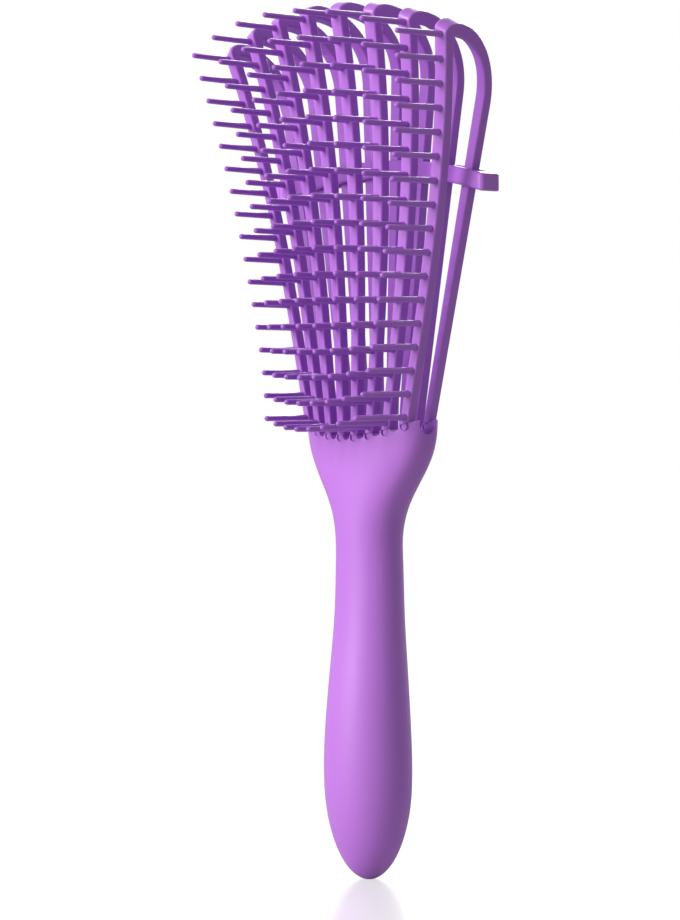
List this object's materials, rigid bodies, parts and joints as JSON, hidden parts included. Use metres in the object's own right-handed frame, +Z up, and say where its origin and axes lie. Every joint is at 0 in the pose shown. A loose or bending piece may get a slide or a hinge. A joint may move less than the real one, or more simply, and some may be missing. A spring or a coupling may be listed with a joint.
{
  "type": "detangling brush",
  "caption": "Hand-held detangling hair brush: a vase-shaped handle, a fan of flexible looped arms with rows of long pins, and a wavy strap that clasps the arms.",
  "frame": {"origin": "lowest point of the handle's butt end, on the handle's axis", "axes": "+Z up the handle to the crowns of the arms, -Y the way the pins point, +X across the fan of arms"},
  "size_m": [0.0842, 0.044, 0.2349],
  "materials": {
    "handle": "soft matte violet",
    "arms": "satin violet",
    "pins": "satin violet",
    "strap": "satin violet"
  },
  "bodies": {
    "handle": {"handle_shell": "handle", "handle_back_cover": "handle"},
    "arm_1_body": {"arm_1": "arms", "pin_row_1": "pins"},
    "arm_2_body": {"arm_2": "arms", "pin_row_2": "pins"},
    "arm_3_body": {"arm_3": "arms", "pin_row_3": "pins"},
    "arm_4_body": {"arm_4": "arms", "pin_row_4": "pins"},
    "arm_5_body": {"arm_5": "arms", "pin_row_5": "pins"},
    "arm_6_body": {"arm_6": "arms", "pin_row_6": "pins"},
    "arm_7_body": {"arm_7": "arms", "pin_row_7": "pins"},
    "arm_8_body": {"arm_8": "arms", "pin_row_8": "pins"},
    "strap": {"strap_band": "strap", "strap_inner_bar": "strap"}
  },
  "joints": [
    {"name": "arm_1_spread", "type": "hinge", "parent": "handle", "child": "arm_1_body", "pos_m": [0.01812, 0, 0.1222], "axis": [0, 1, 0], "range_deg": [-0.6, 0.6], "stiffness_Nm_per_rad": 4},
    {"name": "arm_2_spread", "type": "hinge", "parent": "handle", "child": "arm_2_body", "pos_m": [0.01273, 0, 0.12078], "axis": [0, 1, 0], "range_deg": [-0.6, 0.6], "stiffness_Nm_per_rad": 4},
    {"name": "arm_3_spread", "type": "hinge", "parent": "handle", "child": "arm_3_body", "pos_m": [0.00755, 0, 0.11983], "axis": [0, 1, 0], "range_deg": [-0.6, 0.6], "stiffness_Nm_per_rad": 4},
    {"name": "arm_4_spread", "type": "hinge", "parent": "handle", "child": "arm_4_body", "pos_m": [0.0025, 0, 0.11936], "axis": [0, 1, 0], "range_deg": [-0.6, 0.6], "stiffness_Nm_per_rad": 4},
    {"name": "arm_5_spread", "type": "hinge", "parent": "handle", "child": "arm_5_body", "pos_m": [-0.0025, 0, 0.11936], "axis": [0, 1, 0], "range_deg": [-0.6, 0.6], "stiffness_Nm_per_rad": 4},
    {"name": "arm_6_spread", "type": "hinge", "parent": "handle", "child": "arm_6_body", "pos_m": [-0.00755, 0, 0.11983], "axis": [0, 1, 0], "range_deg": [-0.6, 0.6], "stiffness_Nm_per_rad": 4},
    {"name": "arm_7_spread", "type": "hinge", "parent": "handle", "child": "arm_7_body", "pos_m": [-0.01273, 0, 0.12078], "axis": [0, 1, 0], "range_deg": [-0.6, 0.6], "stiffness_Nm_per_rad": 4},
    {"name": "arm_8_spread", "type": "hinge", "parent": "handle", "child": "arm_8_body", "pos_m": [-0.01812, 0, 0.1222], "axis": [0, 1, 0], "range_deg": [-0.6, 0.6], "stiffness_Nm_per_rad": 4},
    {"name": "strap_slide", "type": "slide", "parent": "handle", "child": "strap", "axis": [0, 0, 1], "range_m": [-0.004, 0.004]}
  ]
}
